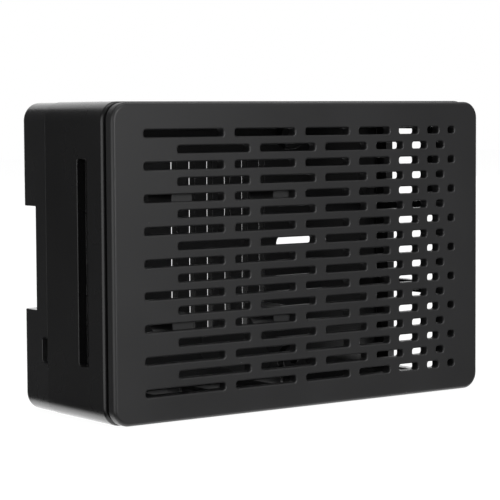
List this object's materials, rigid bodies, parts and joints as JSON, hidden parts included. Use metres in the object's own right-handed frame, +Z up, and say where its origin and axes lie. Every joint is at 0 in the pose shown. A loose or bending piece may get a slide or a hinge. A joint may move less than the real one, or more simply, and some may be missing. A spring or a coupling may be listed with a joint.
{
  "type": "single board computer case",
  "caption": "Ventilated plastic case for a single board computer: pull-off grille lid, wall frame with socket openings, and a base with board posts and hanging slots.",
  "frame": {"origin": "under the middle of the case, on the surface that its lower long side stands on", "axes": "+Z up, +X to the socket side (right, seen from the grille), -Y out of the grille"},
  "size_m": [0.093, 0.0336, 0.062],
  "materials": {
    "lid_plastic": "satin",
    "frame_plastic": "satin",
    "base_plastic": "satin"
  },
  "bodies": {
    "base": {"base_shell": "base_plastic"},
    "frame": {"middle_frame": "frame_plastic"},
    "lid": {"grille_lid": "lid_plastic"}
  },
  "joints": [
    {"name": "frame_pull", "type": "slide", "parent": "base", "child": "frame", "axis": [0, -1, 0], "range_m": [0, 0.01]},
    {"name": "lid_pull", "type": "slide", "parent": "frame", "child": "lid", "axis": [0, -1, 0], "range_m": [0, 0.012]}
  ]
}
